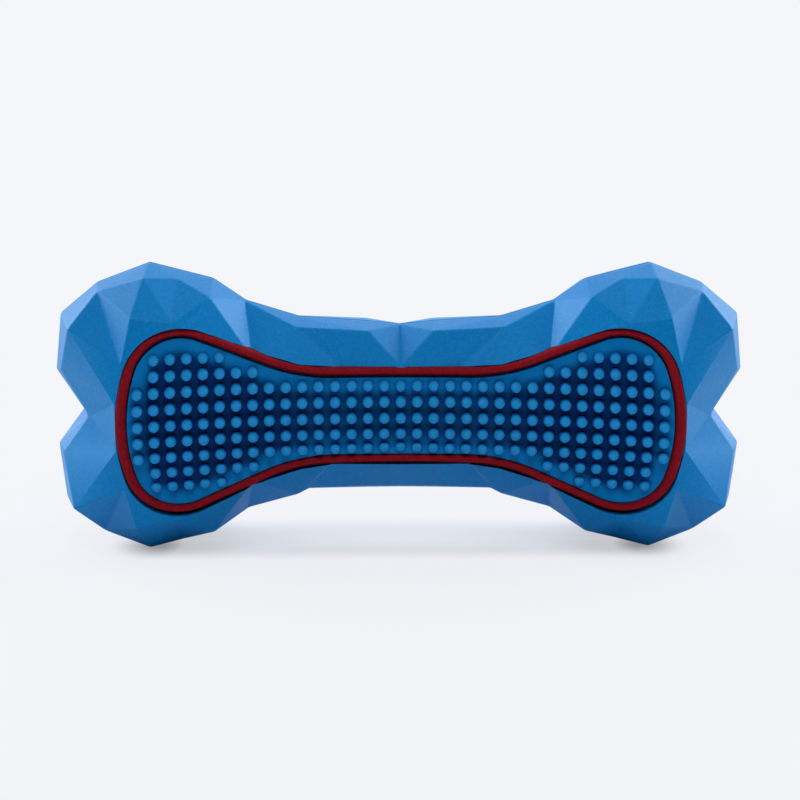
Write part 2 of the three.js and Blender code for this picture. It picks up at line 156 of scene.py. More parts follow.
def mesh_object(name: str, points: np.ndarray, faces: np.ndarray,
                painted_light_and_wear: np.ndarray | None = None) -> bpy.types.Object:
    """Make a smooth, welded mesh object with its faces pointing outwards.

    Args:
        name: The object's name.
        points: Corner places, three numbers each.
        faces: Corner numbers, four for each quad.
        painted_light_and_wear: Each corner's painted shade, painted highlight and scuffing, kept as the
            mesh's own attribute.

    Returns:
        The object, linked to the scene.
    """
    mesh = bpy.data.meshes.new(name)
    mesh.vertices.add(points.size // 3)
    mesh.vertices.foreach_set("co", points.astype(np.float32).ravel())
    mesh.loops.add(faces.size)
    mesh.loops.foreach_set("vertex_index", faces.astype(np.int32).ravel())
    mesh.polygons.add(len(faces))
    starts = np.arange(0, faces.size, faces.shape[1], dtype=np.int32)
    mesh.polygons.foreach_set("loop_start", starts)
    mesh.update(calc_edges=True)
    if painted_light_and_wear is not None:
        layer = mesh.attributes.new(PAINTED_LIGHT_AND_WEAR, "FLOAT", "POINT")
        layer.data.foreach_set("value", painted_light_and_wear.astype(np.float32).ravel())
    with editing(mesh) as shape:
        bmesh.ops.remove_doubles(shape, verts=shape.verts, dist=WELD)
        bmesh.ops.dissolve_degenerate(shape, dist=WELD / 2, edges=shape.edges)
        bmesh.ops.recalc_face_normals(shape, faces=shape.faces)
    mesh.shade_smooth()
    return new_object(name, mesh)


def corner_places(mesh: bpy.types.Mesh) -> np.ndarray:
    """All corners of a mesh, one row each.

    Args:
        mesh: The mesh.

    Returns:
        Their places.
    """
    places = np.empty(len(mesh.vertices) * 3, dtype=np.float32)
    mesh.vertices.foreach_get("co", places)
    return places.reshape(-1, 3)


class NodeTree:
    """A small helper that adds and joins the nodes of a material or of the world."""

    NOISE_SPAN: Span = (0.3, 0.7)

    def __init__(self, owner: bpy.types.Material | bpy.types.World,
                 output: str = "ShaderNodeOutputMaterial") -> None:
        """Start with no more than the output.

        Args:
            owner: What the nodes belong to.
            output: Blender's name for its output node.
        """
        owner.use_nodes = True
        self.owner = owner
        self.tree = owner.node_tree
        self.tree.nodes.clear()
        self.output = self.add(output)

    def add(self, kind: str, **values: object) -> bpy.types.Node:
        """Add a node and set its sockets or properties.

        Args:
            kind: Blender's name for the node.
            values: Socket names, with spaces as underscores, or property names.

        Returns:
            The node.
        """
        node = self.tree.nodes.new(kind)
        for key, value in values.items():
            if hasattr(node, key):
                setattr(node, key, value)
            else:
                node.inputs[key.replace("_", " ")].default_value = value
        return node

    def join(self, source: Socket, node: bpy.types.Node, socket: str | int) -> None:
        """Join an output to a node's input."""
        self.tree.links.new(source, node.inputs[socket])

    def noise(self, scale: float, detail: float, roughness: float = 0.5) -> Socket:
        """Add a noise on Object coordinates.

        Args:
            scale: Waves in a metre.
            detail: How many finer layers it has.
            roughness: How strong the finer layers are.

        Returns:
            The noise's height, about 0 to 1.
        """
        place = self.add("ShaderNodeTexCoord")
        waves = self.add("ShaderNodeTexNoise", Scale=scale, Detail=detail, Roughness=roughness)
        self.join(place.outputs["Object"], waves, "Vector")
        return waves.outputs["Fac"]

    def ramp(self, source: Socket, low: Colour, high: Colour, span: Span) -> Socket:
        """Turn a height into a colour between two.

        Args:
            source: The height.
            low: Colour at and below the span's start.
            high: Colour at and above its end.
            span: Heights between which the colour changes.

        Returns:
            The colour.
        """
        band = self.add("ShaderNodeValToRGB")
        for element, place, colour in zip(band.color_ramp.elements, span, (low, high)):
            element.position, element.color = place, colour
        self.join(source, band, "Fac")
        return band.outputs["Color"]

    def spread(self, source: Socket, low: float, high: float) -> Socket:
        """Stretch the span that a noise keeps to, to the span from low to high.

        Args:
            source: The noise.
            low: Value at the span's start.
            high: Value at its end.

        Returns:
            The stretched value.
        """
        start, end = self.NOISE_SPAN
        span = self.add("ShaderNodeMapRange", From_Min=start, From_Max=end, To_Min=low, To_Max=high)
        self.join(source, span, "Value")
        return span.outputs["Result"]

    def blend(self, share: Socket, low: Socket | Colour, high: Socket | Colour) -> Socket:
        """Mix two colours, each a socket or a fixed one, by a share of 0 to 1.

        Args:
            share: The share of the second colour.
            low: The first colour.
            high: The second colour.

        Returns:
            The mixed colour.
        """
        mix = self.add("ShaderNodeMix", data_type="RGBA")
        sockets = {socket.identifier: socket for socket in mix.inputs}
        self.tree.links.new(share, sockets["Factor_Float"])
        for colour, name in ((low, "A_Color"), (high, "B_Color")):
            if isinstance(colour, tuple):
                sockets[name].default_value = colour
            else:
                self.tree.links.new(colour, sockets[name])
        return next(socket for socket in mix.outputs if socket.identifier == "Result_Color")

    def step(self, source: Socket, span: Span, values: Span) -> Socket:
        """Go softly from the first value to the second while the source crosses the span.

        Args:
            source: What crosses the span.
            span: Where the change begins and ends.
            values: The values before and after.

        Returns:
            The value.
        """
        soft = self.add("ShaderNodeMapRange", interpolation_type="SMOOTHSTEP", From_Min=span[0],
                        From_Max=span[1], To_Min=values[0], To_Max=values[1])
        self.join(source, soft, "Value")
        return soft.outputs["Result"]

    def number_math(self, operation: str, first: Socket, second: Socket) -> Socket:
        """Join two values by a sum of the named kind.

        Args:
            operation: Blender's name for the sum.
            first: The first value.
            second: The second value.

        Returns:
            The result.
        """
        node = self.add("ShaderNodeMath", operation=operation)
        self.join(first, node, 0)
        self.join(second, node, 1)
        return node.outputs["Value"]

    def vector_math(self, operation: str, source: Socket, fixed: Place | None = None) -> Socket:
        """Take a vector, with a fixed one if given, through a sum of the named kind.

        Args:
            operation: Blender's name for the sum.
            source: The vector.
            fixed: The sum's second vector.

        Returns:
            A length for LENGTH and DISTANCE, else a vector.
        """
        node = self.add("ShaderNodeVectorMath", operation=operation)
        self.join(source, node, 0)
        if fixed is not None:
            node.inputs[1].default_value = fixed
        return node.outputs["Value" if operation in ("LENGTH", "DISTANCE") else "Vector"]

    def bump(self, height: Socket, depth: float, below: Socket | None = None) -> Socket:
        """Lift the surface by a height times a depth, over another bump if given.

        Args:
            height: The height, about 0 to 1.
            depth: How far a height of one lifts it, in metres.
            below: The bump that it lies on.

        Returns:
            The turned normal.
        """
        node = self.add("ShaderNodeBump", Strength=1.0, Distance=depth)
        self.join(height, node, "Height")
        if below is not None:
            self.join(below, node, "Normal")
        return node.outputs["Normal"]

    def show(self, shader: bpy.types.Node) -> None:
        """Lead a shader to the output."""
        self.join(shader.outputs[0], self.output, "Surface")

    def show_mix(self, share: Socket, low: bpy.types.Node, high: bpy.types.Node) -> None:
        """Lead two shaders, mixed by a share of 0 to 1, to the output.

        Args:
            share: The share of the second shader.
            low: The first shader.
            high: The second shader.
        """
        mix = self.add("ShaderNodeMixShader")
        for number, source in enumerate((share, low.outputs[0], high.outputs[0])):
            self.join(source, mix, number)
        self.show(mix)


@dataclass(frozen=True)
class RubberFinish:
    """Moulded rubber: a fine sand-blasted grain over a slightly clouded colour.

    The colour wanders between two shades, and the tint of the shine holds where the surface is
    seen head on. The roughness follows a fine noise, and two noises, that one and a coarse one,
    lift the surface by a few hundredths of a millimetre.
    """

    name: str
    deep: Colour
    pale: Colour
    roughness: Span
    specular: float
    shine: Colour = (1.0, 1.0, 1.0, 1.0)
    cloud_scale: float = 220.0
    cloud_detail: float = 4.0
    cloud_span: Span = (0.35, 0.65)
    grain_scale: float = 3200.0
    grain_detail: float = 3.0
    grain_depth: float = 0.00002
    ripple_scale: float = 260.0
    ripple_detail: float = 2.0
    ripple_depth: float = 0.00003
    fine_share: float = 0.6

    def colour(self, nodes: NodeTree) -> Socket:
        """Add the clouded colour and return it."""
        cloud = nodes.noise(self.cloud_scale, self.cloud_detail, self.fine_share)
        return nodes.ramp(cloud, self.deep, self.pale, self.cloud_span)

    def material(self) -> bpy.types.Material:
        """Build the finish's node tree.

        Returns:
            The material.
        """
        nodes = NodeTree(bpy.data.materials.new(self.name))
        shader = nodes.add("ShaderNodeBsdfPrincipled", Specular_IOR_Level=self.specular,
                           Specular_Tint=self.shine)
        nodes.join(self.colour(nodes), shader, "Base Color")
        grain = nodes.noise(self.grain_scale, self.grain_detail, self.fine_share)
        nodes.join(nodes.spread(grain, *self.roughness), shader, "Roughness")
        fine = nodes.bump(grain, self.grain_depth)
        ripple = nodes.noise(self.ripple_scale, self.ripple_detail)
        nodes.join(nodes.bump(ripple, self.ripple_depth, fine), shader, "Normal")
        nodes.show(shader)
        return nodes.owner


@dataclass(frozen=True)
class PaintedLightRubberFinish(RubberFinish):
    """Rubber painted by its mesh: painted shade at 0, plain at a half, painted highlight and scuffing
    at 1.
    """

    # The painted shade of the low places, and the tips' pale colour, partly painted highlight and
    # partly scuffing.
    painted_shade: Colour = (0.0, 0.0, 0.0, 1.0)
    highlight_and_scuff: Colour = (1.0, 1.0, 1.0, 1.0)
    scuff_scale: float = 1500.0
    scuff_detail: float = 3.0
    scuff_least: float = 0.55

    def colour(self, nodes: NodeTree) -> Socket:
        """Add the clouded colour, painted shade in the low places and patchy painted highlight and
        scuffing on the tips.

        Args:
            nodes: The material's nodes.

        Returns:
            The colour.
        """
        painted_light_and_wear = nodes.add("ShaderNodeAttribute", attribute_name=PAINTED_LIGHT_AND_WEAR).outputs["Fac"]
        # Painted shade in the low places, then the tips' pale colour: partly painted highlight, partly
        # scuffing.
        out_of_shade = nodes.step(painted_light_and_wear, (SHADED, PLAIN), (0.0, 1.0))
        painted_shade_mix = nodes.blend(out_of_shade, self.painted_shade, super().colour(nodes))
        patchy = nodes.noise(self.scuff_scale, self.scuff_detail)
        lit_and_scuffed = nodes.step(painted_light_and_wear, (PLAIN, LIT_AND_SCUFFED), (0.0, 1.0))
        patches = nodes.number_math("MULTIPLY", lit_and_scuffed, nodes.spread(patchy, self.scuff_least, 1.0))
        return nodes.blend(patches, painted_shade_mix, self.highlight_and_scuff)


@dataclass(frozen=True)
class PlasticFinish:
    """Thin milky plastic with faint flow marks and a soft gloss that varies over the surface."""

    name: str
    colour: Colour
    flow: Colour
    roughness: Span
    transmission: float
    specular: float = 0.5
    mark_scale: float = 140.0
    mark_detail: float = 5.0
    mark_share: float = 0.55
    mark_span: Span = (0.4, 0.6)
    mark_depth: float = 0.00002
    gloss_scale: float = 900.0
    gloss_detail: float = 3.0

    def material(self) -> bpy.types.Material:
        """Build the finish's node tree.

        Returns:
            The material.
        """
        nodes = NodeTree(bpy.data.materials.new(self.name))
        shader = nodes.add("ShaderNodeBsdfPrincipled", Specular_IOR_Level=self.specular,
                           Transmission_Weight=self.transmission)
        marks = nodes.noise(self.mark_scale, self.mark_detail, self.mark_share)
        nodes.join(nodes.ramp(marks, self.flow, self.colour, self.mark_span), shader, "Base Color")
        gloss = nodes.noise(self.gloss_scale, self.gloss_detail)
        nodes.join(nodes.spread(gloss, *self.roughness), shader, "Roughness")
        nodes.join(nodes.bump(marks, self.mark_depth), shader, "Normal")
        nodes.show(shader)
        return nodes.owner


@dataclass(frozen=True)
class Loop:
    """Points round the window's outline, with their outward normals, as whole arrays."""

    x: np.ndarray
    z: np.ndarray
    nx: np.ndarray
    nz: np.ndarray

    def flipped(self, along: int, up: int) -> "Loop":
        """The loop mirrored along the bone, up and down, or both."""
        return Loop(self.x * along, self.z * up, self.nx * along, self.nz * up)

    def reversed(self) -> "Loop":
        """The loop taken the other way round."""
        return Loop(self.x[::-1], self.z[::-1], self.nx[::-1], self.nz[::-1])

    def cut(self, start: int | None, stop: int | None) -> "Loop":
        """The stretch of the loop from start up to stop."""
        part = slice(start, stop)
        return Loop(self.x[part], self.z[part], self.nx[part], self.nz[part])

    @staticmethod
    def chain(*loops: "Loop") -> "Loop":
        """The loops one after another."""
        names = ("x", "z", "nx", "nz")
        return Loop(*(np.concatenate([getattr(loop, n) for loop in loops]) for n in names))


@dataclass(frozen=True)
class BoneOutline:
    """The bone-shaped middle line of the trim ring: arcs and straights that meet smoothly.

    A quarter runs from the bone's end to the middle of its waist: a shallow end arc, a round
    lobe, a straight flank, a hollow arc and a straight waist.
    """

    end: float = 0.067
    lobe: float = 0.022
    waist: float = 0.011
    lobe_radius: float = 0.01225
    end_bulge: float = 0.0015
    flank_angle: float = math.radians(23)
    flank_radius: float = 0.043
    steps: tuple[int, int, int, int, int] = (9, 18, 10, 12, 12)

    @property
    def lobe_x(self) -> float:
        """How far the lobe's centre lies along the bone."""
        return self.end - self.end_bulge - self.lobe_radius

    @property
    def lobe_z(self) -> float:
        """How far the lobe's centre lies above the middle line."""
        return self.lobe - self.lobe_radius

    @property
    def flank_top(self) -> tuple[float, float]:
        """Where the lobe's arc runs into the straight flank.

        That is the lobe's centre plus its radius times (-sin a, cos a), a being the flank's angle.

        Returns:
            x and z of a point.
        """
        turn = self.flank_angle
        return (self.lobe_x - self.lobe_radius * math.sin(turn),
                self.lobe_z + self.lobe_radius * math.cos(turn))

    @property
    def flank_foot(self) -> tuple[float, float]:
        """Where the straight flank runs into the hollow arc.

        Returns:
            x and z of a point.
        """
        z = self.waist + self.flank_radius * (1 - math.cos(self.flank_angle))
        x, top = self.flank_top
        return x - (top - z) / math.tan(self.flank_angle), z

    @property
    def waist_end(self) -> float:
        """Where the hollow arc runs into the straight waist."""
        return self.flank_foot[0] - self.flank_radius * math.sin(self.flank_angle)

    def quarter(self) -> Loop:
        """Sample one quarter.

        On an arc of radius r about c at angle a, a point is c + r (cos a, sin a) with the normal
        (cos a, sin a). On the hollow arc the centre lies outside, so the sign of r turns.

        Returns:
            The quarter's points, ending at the middle of the waist.
        """
        end, lobe, straight, hollow, waist = (np.arange(n) / n for n in self.steps)
        reach = self.end_bulge + self.lobe_radius
        radius = (reach**2 + self.lobe_z**2 - self.lobe_radius**2) / (2 * self.end_bulge)
        start = math.atan2(self.lobe_z, self.lobe_x - (self.end - radius))
        slope = math.pi / 2 + self.flank_angle

        def arc(centre: tuple[float, float], r: float, angle: np.ndarray) -> Loop:
            """Points of one arc, with normals at those angles.

            Args:
                centre: x and z of its centre.
                r: Its radius.
                angle: The angles.

            Returns:
                The points.
            """
            c, s = np.cos(angle), np.sin(angle)
            return Loop(centre[0] + r * c, centre[1] + r * s, c, s)

        def line(a: tuple[float, float], b: tuple[float, float], t: np.ndarray, angle: float) -> Loop:
            """Points of one straight, all with the same normal.

            Args:
                a: Its start.
                b: Its end.
                t: Shares of the way.
                angle: The normal's angle.

            Returns:
                The points.
            """
            same = np.ones_like(t)
            return Loop(a[0] + (b[0] - a[0]) * t, a[1] + (b[1] - a[1]) * t,
                        math.cos(angle) * same, math.sin(angle) * same)

        hollow_centre = (self.waist_end, self.waist + self.flank_radius)
        return Loop.chain(
            arc((self.end - radius, 0.0), radius, start * end),
            arc((self.lobe_x, self.lobe_z), self.lobe_radius, start + (slope - start) * lobe),
            line(self.flank_top, self.flank_foot, straight, slope),
            arc(hollow_centre, -self.flank_radius, slope - self.flank_angle * hollow),
            line((self.waist_end, self.waist), (0.0, self.waist), waist, math.pi / 2),
            Loop(*(np.array([value]) for value in (0.0, self.waist, 0.0, 1.0))),
        )

    def whole(self) -> Loop:
        """The whole outline, anticlockwise, with the quarter mirrored three times.

        Returns:
            All its points.
        """
        quarter = self.quarter()
        top = Loop.chain(quarter, quarter.cut(None, -1).reversed().flipped(-1, 1))
        return Loop.chain(top, top.cut(1, -1).reversed().flipped(1, -1))

    def half_width(self, x: np.ndarray) -> np.ndarray:
        """Half the window's height at x, taken as full from the lobe's crown outwards.

        Args:
            x: Places along the bone.

        Returns:
            One length for each place.
        """
        flank = self.quarter().cut(sum(self.steps[:1]), None).reversed()
        climb = np.maximum.accumulate(flank.z)
        return np.interp(np.abs(x), flank.x, climb)


@dataclass(frozen=True)
class SaddleFace:
    """The saddle that ring and pad follow: it rises to the bone's ends and droops to its sides."""

    end: float = 0.0668
    lobe: float = 0.0218
    waist: float = 0.0122
    rise: float = 0.0104
    droop: float = 0.0013

    def height(self, x: np.ndarray, z: np.ndarray) -> np.ndarray:
        """Height out from the seam: waist + rise (x / end)^2 - droop (z / lobe)^2."""
        return self.waist + self.rise * (x / self.end) ** 2 - self.droop * (z / self.lobe) ** 2

    def along(self, length: np.ndarray) -> np.ndarray:
        """Place along the bone after a length of the middle line's curve.

        The curve is y = c x^2, whose length from the middle is close to x + 2/3 c^2 x^3.
        """
        curve = self.rise / self.end**2
        return length - 2 / 3 * curve**2 * length**3


@dataclass
class Bench:
    """What every piece shares: the outline, the saddle and the height of the middle line."""

    outline: BoneOutline = field(default_factory=BoneOutline)
    face: SaddleFace = field(default_factory=SaddleFace)
    ring_half: float = 0.00122
    ring_height: float = 0.003
    clearance: float = 0.0003

    def __post_init__(self) -> None:
        """Work out the outline's points and the middle line's height."""
        self.loop = self.outline.whole()
        low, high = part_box("front_trim_ring")
        self.middle = (low.z + high.z) / 2

    def offset(self, distance: float) -> tuple[np.ndarray, np.ndarray]:
        """The outline moved outwards by a distance, as x and z."""
        loop = self.loop
        return loop.x + loop.nx * distance, loop.z + loop.nz * distance

    def way_out(self, x: np.ndarray, z: np.ndarray, distance: float) -> np.ndarray:
        """How far points lie outside an offset outline, measured at its nearest sample.

        Args:
            x: Places along the bone.
            z: Places above the middle line.
            distance: Offset of the outline.

        Returns:
            One length for each point, negative inside.
        """
        loop_x, loop_z = self.offset(distance)
        step_x, step_z = x[:, None] - loop_x, z[:, None] - loop_z
        out = step_x * self.loop.nx + step_z * self.loop.nz
        nearest = np.argmin(np.hypot(step_x, step_z), axis=1)
        return out[np.arange(len(x)), nearest]

    def drawn_in(self, distance: float, share: np.ndarray) -> tuple[np.ndarray, np.ndarray]:
        """Loops drawn from an offset outline towards the bone's middle line.

        A share of 1 is the outline itself. At a share of 0 every point lies on the middle line,
        with its x shortened to the lobe's centre.

        Args:
            distance: Offset of the outline.
            share: One value for each loop.

        Returns:
            x and z, one row for each loop.
        """
        x, z = self.offset(distance)
        keep = self.outline.lobe_x / self.outline.end
        return x * (keep + (1 - keep) * share[:, None]), z * share[:, None]

    def points(self, x: np.ndarray, out: np.ndarray, z: np.ndarray, side: Side) -> np.ndarray:
        """Places in the frame from x, height out from the seam and z from the middle line."""
        return np.stack(np.broadcast_arrays(x, side.value * out, z + self.middle), axis=-1)

    def turned(self, x: float, radius: np.ndarray, out: np.ndarray, sides: int, side: Side) -> Surface:
        """Turn a profile about an axis that looks straight out from the seam.

        Args:
            x: The axis' place along the bone.
            radius: The profile's way from the axis, one value for each loop.
            out: Its height out from the seam.
            sides: Points in each loop.
            side: Which half.

        Returns:
            Points and quads.
        """
        turn = np.linspace(0, 2 * math.pi, sides, endpoint=False)
        wide = radius[:, None]
        grid = self.points(x + wide * np.cos(turn), out[:, None], wide * np.sin(turn), side)
        return grid.reshape(-1, 3), grid_faces(*grid.shape[:2])


def dress(piece: bpy.types.Object, body: str, slot: str, material: bpy.types.Material,
          *nodes: str) -> bpy.types.Object:
    """Give a piece its finish, the body it rides on and the nodes that it stands for.

    Args:
        piece: The piece.
        body: The CAD body it moves with.
        slot: The record's material slot; not used.
        material: The finish.
        nodes: CAD nodes that it replaces.

    Returns:
        The piece.
    """
    piece.data.materials.clear()
    piece.data.materials.append(material)
    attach(piece, body)
    if nodes:
        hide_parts(*nodes)
    LOG.info("%s rides on %s, %d faces", piece.name, body, len(piece.data.polygons))
    return piece


@dataclass
class Shell:
    """A faceted half shell with soft edges and a smooth rebate for the trim ring."""

    bench: Bench
    finish: RubberFinish
    rebate_gap: float = 0.0001
    rebate_depth: float = 0.0035
    far: float = 0.04
    edge_radius: float = 0.0004
    edge_segments: int = 3
    lip_margin: float = 0.0001
    lip_weld: float = 0.00005
    lip_room: float = 0.0006
    middle_room: float = 0.0018
    lip_angles: Span = (math.radians(10), math.radians(60))
    seam_reach: float = 0.0002
    seam_half: float = 0.00002
    brow: Place = (0.00805, 0.0052, 0.0549)
    brow_reach: float = 0.0003
    brow_shift: Span = (0.0029, 0.0007)
    flat_angle: float = math.radians(0.4)
    soft_angle: float = math.radians(1.5)
    facet_weight: int = 100

    def cutter(self, side: Side) -> bpy.types.Object:
        """Make the rebate's block: a band round the outline, from its floor far out.

        Its section has four corners: the ring's inner and outer offsets, each at the face less the
        rebate's depth and far outside. The section is carried round the outline.

        Args:
            side: Which half.

        Returns:
            The block.
        """
        inner, outer = -self.bench.ring_half, self.bench.ring_half + self.rebate_gap
        corners = ((inner, False), (outer, False), (outer, True), (inner, True))
        rows = []
        for distance, outside in corners:
            x, z = self.bench.offset(distance)
            floor = self.bench.face.height(x, z) - self.rebate_depth
            out = np.full_like(x, self.far) if outside else floor
            rows.append(self.bench.points(x, out, z, side))
        grid = np.stack(rows)
        return mesh_object("rebate_block", grid, grid_faces(*grid.shape[:2], close_rows=True))

    def cut_copy(self, side: Side) -> bpy.types.Mesh:
        """Copy the CAD shell, weld its loose triangles and cut the smooth rebate into it.

        Args:
            side: Which half.

        Returns:
            The new mesh.
        """
        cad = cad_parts[f"{side.word}_shell"]
        rough = new_object("rough_shell", cad.data.copy())
        with editing(rough.data) as shape:
            bmesh.ops.remove_doubles(shape, verts=shape.verts, dist=WELD)
        self.raise_brows(rough.data, side)
        block = self.cutter(side)
        cut = rough.modifiers.new("rebate", "BOOLEAN")
        cut.operation, cut.solver, cut.object = "DIFFERENCE", "EXACT", block
        bpy.context.view_layer.update()
        finished = rough.evaluated_get(bpy.context.evaluated_depsgraph_get())
        made = bpy.data.meshes.new_from_object(finished)
        for spare in (rough, block):
            bpy.data.objects.remove(spare)
        self.close_seam(made, side)
        return made

    def raise_brows(self, mesh: bpy.types.Mesh, side: Side) -> None:
        """Bring the two corners beside the notch at the top of the waist forward by a little.

        The notch then cuts deeper, and the ledge above it lies flatter.

        Args:
            mesh: The shell's mesh.
            side: Which half.
        """
        places = corner_places(mesh)
        folded = places * np.array((1, side.value, 1))
        folded[:, 0] = np.abs(folded[:, 0])
        near = np.linalg.norm(folded - np.array(self.brow), axis=1) < self.brow_reach
        LOG.info("%d brow corners on the %s shell", near.sum(), side.word)
        places[near, 1] += side.value * self.brow_shift[0]
        places[near, 2] += self.brow_shift[1]
        mesh.vertices.foreach_set("co", places.ravel())

    def close_seam(self, mesh: bpy.types.Mesh, side: Side) -> None:
        """Bring the seam's flat land up to the other half, so that only a hairline stays open.

        Args:
            mesh: The shell's mesh.
            side: Which half.
        """
        places = corner_places(mesh)
        places[np.abs(places[:, 1]) < self.seam_reach, 1] = side.value * self.seam_half
        mesh.vertices.foreach_set("co", places.ravel())

    def soften(self, mesh: bpy.types.Mesh) -> None:
        """Join flat facets and mark the edges between them, which get rounded.

        An edge that runs from a facet's corner to the rebate is rounded too, unless it is nearly
        flat or hasn't the room. The rebate's own lip, and what lies inside it, stay sharp.

        Args:
            mesh: The shell's mesh.
        """
        with editing(mesh) as shape:
            bmesh.ops.remove_doubles(shape, verts=shape.verts, dist=self.lip_weld)
            bmesh.ops.dissolve_limit(shape, angle_limit=self.flat_angle, verts=shape.verts,
                                     edges=shape.edges)
            weight = shape.edges.layers.float.new("bevel_weight_edge")
            shape.verts.index_update()
            shape.edges.index_update()
            corners = self.from_lip(np.array([v.co for v in shape.verts]))
            middles = [(e.verts[0].co + e.verts[1].co) / 2 for e in shape.edges]
            middles = self.from_lip(np.array(middles))
            least, most = self.lip_angles
            for edge in shape.edges:
                angle = edge.calc_face_angle(0.0)
                ends = [corners[v.index] for v in edge.verts]
                near = min(e.calc_length() for v in edge.verts for e in v.link_edges)
                roomy = middles[edge.index] > self.middle_room and near > self.lip_room
                clear = min(ends) > self.lip_room or roomy
                from_corner = max(ends) > self.lip_margin
                to_lip = min(ends) < self.lip_margin
                allowed = least < angle < most if to_lip else angle > self.soft_angle
                soft = clear and from_corner and allowed
                edge[weight] = 1.0 if soft else 0.0
                edge.smooth = soft or angle < self.soft_angle
            for face in shape.faces:
                face.smooth = True

    def from_lip(self, places: np.ndarray) -> np.ndarray:
        """Find how far places lie outside the rebate's outer wall.

        Args:
            places: Points, one row each.

        Returns:
            One length for each point, negative inside.
        """
        out = self.bench.way_out(places[:, 0], places[:, 2] - self.bench.middle, 0.0)
        return out - self.bench.ring_half - self.rebate_gap

    def build(self, side: Side) -> bpy.types.Object:
        """Build one half shell with rounded edges.

        Args:
            side: Which half.

        Returns:
            The shell.
        """
        mesh = self.cut_copy(side)
        self.soften(mesh)
        shell = new_object(f"{side.word}_shell_moulding", mesh)
        bevel = shell.modifiers.new("soft_edges", "BEVEL")
        bevel.limit_method, bevel.width = "WEIGHT", self.edge_radius
        bevel.segments = self.edge_segments
        bevel.use_clamp_overlap, bevel.harden_normals = False, False
        flat = shell.modifiers.new("flat_facets", "WEIGHTED_NORMAL")
        flat.mode, flat.weight, flat.keep_sharp = "FACE_AREA", self.facet_weight, True
        return dress(shell, "body", "shell_rubber", self.finish.material(), f"{side.word}_shell")


@dataclass
class TrimRing:
    """The dark red bead that lies in the rebate round the window."""

    bench: Bench
    finish: RubberFinish
    half: float = 0.0012
    crown: float = 0.0011
    lift: float = 0.0008
    end_lift: float = 0.0006
    ledge: float = -0.0014
    lean: float = 0.72
    squareness: float = 2.4
    crown_points: int = 21

    def section(self) -> tuple[np.ndarray, np.ndarray]:
        """The bead's section: a broad foot with a ledge and a full, round top that stands proud.

        The top is half a squarish oval of power p: offset = half width cos a and height = lift -
        crown (1 - sin a), with cos and sin to the power 2 / p and a going through half a turn.

        Returns:
            Offsets from the middle line and heights over the face.
        """
        angle = np.linspace(0, math.pi, self.crown_points)
        power = 2 / self.squareness
        across = np.sign(np.cos(angle)) * np.abs(np.cos(angle)) ** power
        foot = [-self.bench.ring_height, self.ledge]
        offsets = self.half * np.concatenate(([1, 1], across, [-1, -1]))
        rise = self.lift + self.crown * (np.abs(np.sin(angle)) ** power - 1)
        return offsets, np.concatenate((foot, rise, foot[::-1]))

    def build(self, side: Side) -> bpy.types.Object:
        """Carry the section round the outline and return the ring.

        The top leans on the upper wall of the rebate: its side that looks down is drawn in by a
        share of how far it looks down, so the foot's ledge shows as a dark line under it. Towards
        the bone's ends the top stands higher, by the end lift times (x / end)^2.

        Args:
            side: Which half.

        Returns:
            The ring.
        """
        offsets, heights = self.section()
        loop = self.bench.loop
        down = np.clip(-np.sign(offsets)[:, None] * loop.nz, 0, 1)
        top = (heights > self.ledge)[:, None]
        offsets = offsets[:, None] * (1 - self.lean * top * down)
        x = loop.x + loop.nx * offsets
        z = loop.z + loop.nz * offsets
        face = self.bench.face
        lift = np.where(top, self.end_lift * (x / face.end) ** 2, 0.0)
        grid = self.bench.points(x, face.height(x, z) + heights[:, None] + lift, z, side)
        quads = grid_faces(*grid.shape[:2], close_rows=True)
        ring = mesh_object(f"{side.word}_trim_bead", grid, quads)
        return dress(ring, "body", "trim_rubber", self.finish.material(), f"{side.word}_trim_ring")


